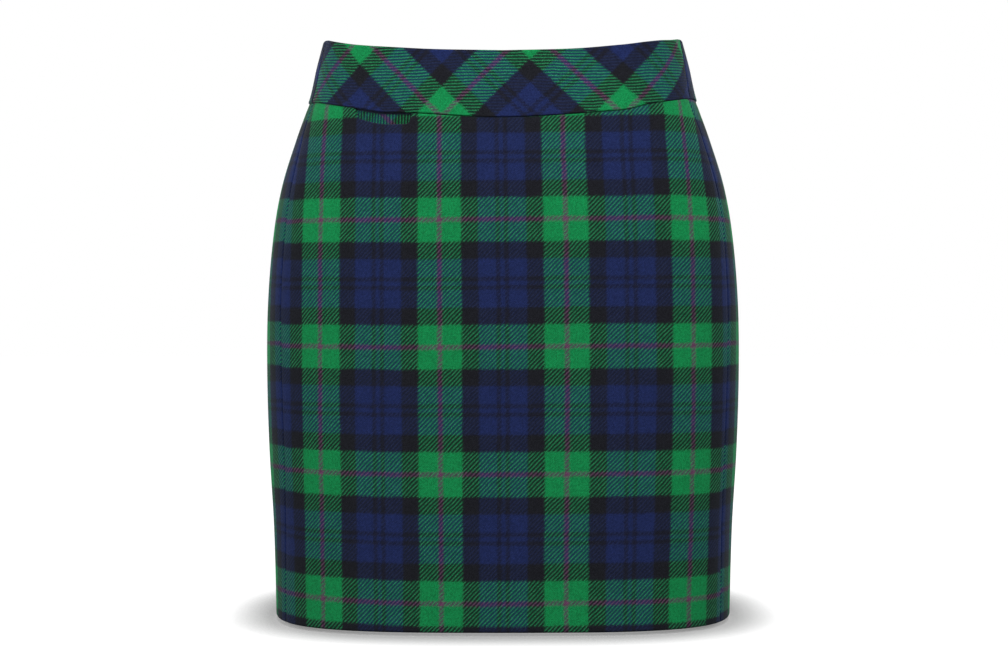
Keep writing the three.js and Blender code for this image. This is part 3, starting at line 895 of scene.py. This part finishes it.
def makeCoil(name, side):  # one row of the concealed zip's teeth, a flattened spiral
    topZ = zipHardware["origin"][2] - zipCoil["belowSlider"]
    lowZ = zipHardware["stopZ"] + zipCoil["aboveStop"]
    steps, corners = zipCoil["turnSteps"], zipCoil["wireSides"]
    turns = int((topZ - lowZ) / zipCoil["pitch"])
    angle = np.arange(turns * steps + 1) * 2 * math.pi / steps
    z = topZ - angle / (2 * math.pi) * zipCoil["pitch"] - (zipCoil["pitch"] / 2 if side > 0 else 0)
    across = side * (zipCoil["apart"] + zipCoil["halfWidth"] * np.cos(angle))
    out = behindZip(z) - zipCoil["behind"] + zipCoil["halfDepth"] * np.sin(angle)
    path = offsetPoint(halfGirth(z) - across, z, out)
    run = np.gradient(path, axis=0)
    run /= np.linalg.norm(run, axis=1, keepdims=True)
    flat = np.cross(run, [0, 0, 1.0])
    flat /= np.linalg.norm(flat, axis=1, keepdims=True)
    rise = np.cross(flat, run)
    around = (np.arange(corners) * 2 * math.pi / corners)[None, :, None]
    ring = zipCoil["wire"] * (np.cos(around) * flat[:, None] + np.sin(around) * rise[:, None])
    points = (path[:, None] + ring).reshape(-1, 3)
    index = np.arange(len(points)).reshape(-1, corners)
    index = np.concatenate([index, index[:, :1]], axis=1)
    faces = gridFaces(index, flip=True).tolist() + [index[0, :-1].tolist(), index[-1, :-1][::-1].tolist()]
    ridePiece("coil_" + name, makeMesh("coil_" + name, points, faces, coilPlastic), "skirt")


def bezier(share, start, first, second, end):
    rest = 1 - share
    return rest ** 3 * start + 3 * rest ** 2 * share * first + 3 * rest * share ** 2 * second + share ** 3 * end


def rectangle(wide, tall, middle=(0, 0)):
    corners = ((-1, -1), (1, -1), (1, 1), (-1, 1))
    return [(middle[0] + x * wide / 2, middle[1] + y * tall / 2) for x, y in corners]


def circle(radius, steps, middle=(0, 0), start=0.0, turn=2 * math.pi):
    angles = start + turn * np.arange(steps) / (steps if turn >= 2 * math.pi else steps - 1)
    return [(middle[0] + radius * math.cos(a), middle[1] + radius * math.sin(a)) for a in angles]


def addPlate(shape, outline, hole, thick, place, bevel):  # a flat plate with rounded edges
    made = []
    flat = bmesh.new()
    for loop in (outline, hole):
        verts = [flat.verts.new((x, y, -thick / 2)) for x, y in loop]
        made += [flat.edges.new((verts[i - 1], verts[i])) for i in range(len(verts))]
    filled = bmesh.ops.triangle_fill(flat, edges=made, use_beauty=True)["geom"]
    faces = [item for item in filled if isinstance(item, bmesh.types.BMFace)]
    lifted = bmesh.ops.extrude_face_region(flat, geom=faces)["geom"]
    verts = [item for item in lifted if isinstance(item, bmesh.types.BMVert)]
    bmesh.ops.translate(flat, verts=verts, vec=(0, 0, thick))
    bmesh.ops.dissolve_limit(flat, angle_limit=0.01, verts=flat.verts, edges=flat.edges)
    bmesh.ops.recalc_face_normals(flat, faces=flat.faces)
    sharp = [edge for edge in flat.edges if edge.is_manifold and edge.calc_face_angle() > 0.6]
    bmesh.ops.bevel(flat, geom=sharp, offset=bevel, segments=3, profile=0.5, affect="EDGES")
    bmesh.ops.triangulate(flat, faces=[face for face in flat.faces if len(face.verts) > 4])
    bmesh.ops.transform(flat, matrix=place, verts=flat.verts)
    part = bpy.data.meshes.new("plate")
    flat.to_mesh(part)
    flat.free()
    shape.from_mesh(part)
    bpy.data.meshes.remove(part)


def hardwareFrame(place, outward):  # X across, Y up the zip, Z outwards
    out = Vector(outward).normalized()
    up = Vector((0, -out.z, out.y))
    across = up.cross(out)
    turned = Matrix((across, up, out)).transposed().to_4x4()
    return Matrix.Translation(Vector(place)) @ turned


def finishHardware(name, shape, body, node):
    bmesh.ops.scale(shape, vec=(mm, mm, mm), verts=shape.verts)
    mesh = bpy.data.meshes.new(name)
    shape.to_mesh(mesh)
    shape.free()
    mesh.materials.append(enamel)
    ridePiece(name, mesh, body, node)


def makeSlider(outward):
    spec, bevels = zipHardware, zipHardware["bevels"]
    base = hardwareFrame(spec["origin"], outward)
    wide, long, thick = spec["body"]
    half, top, corner = wide / 2, long / 2, spec["bodyCorner"]
    narrow = half * spec["bodyNarrow"]
    outline = [(-narrow, -top), (narrow, -top)]
    outline += circle(corner, 5, (half - corner, top - corner), 0, math.pi / 2)
    outline += circle(corner, 5, (corner - half, top - corner), math.pi / 2, math.pi / 2)
    slider = bmesh.new()
    inward = Matrix.Translation((0, 0, -spec["bodyBehind"] - thick / 2))
    addPlate(slider, outline, (), thick, base @ inward, bevels["body"])
    neckThick, neckTall = spec["neck"]
    neck = rectangle(spec["bodyBehind"] + 1, neckTall, (-spec["bodyBehind"] / 2, 0))
    addPlate(slider, neck, (), neckThick, base @ Matrix.Rotation(-math.pi / 2, 4, "Y"), bevels["neck"])
    ringPlace = Matrix.Translation((0, 0, spec["standOff"])) @ Matrix.Rotation(math.pi / 2, 4, "Y")
    addPlate(slider, circle(spec["ring"], 28), circle(spec["ringHole"], 24), neckThick, base @ ringPlace,
             bevels["ring"])
    finishHardware("slider", slider, "skirt", "zip_slider")


def makePullTab(outward):
    spec = zipHardware
    wide, long, thick = spec["tab"]
    bar, half, bottom = thick / 2, wide / 2, thick / 2 - long
    shoulder = half * spec["tabShoulder"]
    shares = np.linspace(0, 1, 9)[:-1]
    left = [(-bezier(share, shoulder, shoulder, half, half),
             bezier(share, bar, bottom / 2, bottom / 2, bottom + half)) for share in shares]
    outline = left + circle(half, 17, (0, bottom + half), math.pi, math.pi) + [(-x, y) for x, y in reversed(left)]
    eyeWide, eyeDeep = spec["eye"]
    eye = rectangle(eyeWide, eyeDeep, (0, -bar - eyeDeep / 2))
    tab = bmesh.new()
    addPlate(tab, outline, eye, thick, hardwareFrame(spec["pivot"], outward), spec["bevels"]["tab"])
    finishHardware("pull_tab", tab, "pull_tab", "zip_pull_tab")


def makeStop():
    z = zipHardware["stopZ"]
    wide, long, thick = zipHardware["stop"]
    foot = offsetPoint(halfGirth(z), z, 0.0)
    normal = shapeNormal(halfGirth(z) - 0.01, z)
    place = hardwareFrame((0, float(foot[1]), z), (0, float(normal[1]), float(normal[2])))
    place = place @ Matrix.Translation((0, 0, -zipHardware["stopBehind"]))
    stop = bmesh.new()
    addPlate(stop, rectangle(wide, long), (), thick, place, zipHardware["bevels"]["stop"])
    finishHardware("bottom_stop", stop, "skirt", "zip_bottom_stop")


for name, side in sides.items():
    makeTape(name, side)
    makeCoil(name, side)
zipOutward = Vector(zipHardware["pivot"]) - Vector(zipHardware["origin"])
makeSlider(zipOutward)
makePullTab(zipOutward)
makeStop()
print("zip made")


# Camera, floor and lights
view = {"distance": 1.3, "height": -0.208, "lens": 60.61, "right": 1, "down": 26, "frame": 1008}
studio = {
    "floorZ": -0.4366, "size": 7, "floorBase": 0.18, "floorGlow": 1.0, "backdropGlow": 1.0,
    "air": 0.42, "airBelow": 0.09, "horizon": 0.3, "aimZ": -0.22,
    "shadeReach": 0.045, "shadeDepth": 2.2,  # how far the painted shadow beside the hem goes, and how dark
    "lights": {
        "key": {"at": (0.2, -1.25, 0.9), "size": 1, "watts": 17.5},
        "fillLeft": {"at": (-1.6, -1.1, 0.45), "size": 1.4, "watts": 24},
        "fillRight": {"at": (1.6, -1.1, 0.45), "size": 1.4, "watts": 16.5},
        "rimLeft": {"at": (-1.3, 1.3, 0.5), "size": 1.2, "watts": 16},
        "rimRight": {"at": (1.3, 1.3, 0.5), "size": 1.2, "watts": 16},
    },
}


def placeCamera():
    camera = placeObject("camera", bpy.data.cameras.new("camera"))
    camera.data.lens = view["lens"]
    camera.data.sensor_width = 36
    camera.data.shift_x = view["right"] / view["frame"]
    camera.data.shift_y = -view["down"] / view["frame"]
    camera.location = (0, -view["distance"], view["height"])
    camera.rotation_euler = (math.pi / 2, 0, 0)
    bpy.context.scene.camera = camera


def stagePiece(name, points, faces, base, glow, shadeReach=None):
    mesh = bpy.data.meshes.new(name)
    mesh.from_pydata(points, [], faces)
    material, wire = newMaterial(name)
    sockets = {"Base Color": (base, base, base, 1), "Roughness": 0.9, "Specular IOR Level": 0.0,
               "Emission Color": (1, 1, 1, 1), "Emission Strength": glow}
    if shadeReach:  # painted shadow: the floor's glow dims where the hem is close over it
        near = wire.node("AmbientOcclusion", {"samples": 8}, {"Distance": shadeReach}, "AO")
        sockets["Emission Color"] = wire.even(wire.math("POWER", near, studio["shadeDepth"]))
    wire.node("OutputMaterial", None, {"Surface": wire.node("BsdfPrincipled", None, sockets)})
    mesh.materials.append(material)
    piece = placeObject(name, mesh)
    return piece


def placeStudio():
    scene = bpy.context.scene
    size, floorZ = studio["size"], studio["floorZ"]
    square = [(-size, -size), (size, -size), (size, size), (-size, size)]
    floor = stagePiece("floor", [(x, y, floorZ) for x, y in square], [(0, 1, 2, 3)], studio["floorBase"],
                       studio["floorGlow"], studio["shadeReach"])
    floor.visible_diffuse = False
    walls = [(x, y, z) for z in (floorZ, 2 * size) for x, y in square]
    wallFaces = [(0, 1, 5, 4), (1, 2, 6, 5), (2, 3, 7, 6), (3, 0, 4, 7), (4, 5, 6, 7)]
    backdrop = stagePiece("backdrop", walls, wallFaces, 0, studio["backdropGlow"])
    for rays in ("diffuse", "glossy", "transmission", "volume_scatter", "shadow"):
        setattr(backdrop, "visible_" + rays, False)  # seen, but the lamps and the air do the lighting
    world = bpy.data.worlds.new("studio")
    world.use_nodes = True
    wire = Wire(world.node_tree)
    upward = wire.node("SeparateXYZ", None, {0: wire.node("TexCoord")}, 2)
    above = upward.within(-studio["horizon"], studio["horizon"])
    air = above * (studio["air"] - studio["airBelow"]) + studio["airBelow"]
    world.node_tree.links.new(air.socket, world.node_tree.nodes["Background"].inputs["Strength"])
    scene.world = world
    for name, spec in studio["lights"].items():
        lamp = bpy.data.lights.new(name, "AREA")
        lamp.size = spec["size"]
        lamp.energy = spec["watts"]
        light = placeObject(name, lamp)
        light.location = spec["at"]
        aim = Vector((0, 0, studio["aimZ"])) - Vector(spec["at"])
        light.rotation_euler = aim.to_track_quat("-Z", "Y").to_euler()
    scene.view_settings.view_transform = "Standard"
    scene.view_settings.look = "None"


placeCamera()
placeStudio()
print("camera, floor and lights placed")
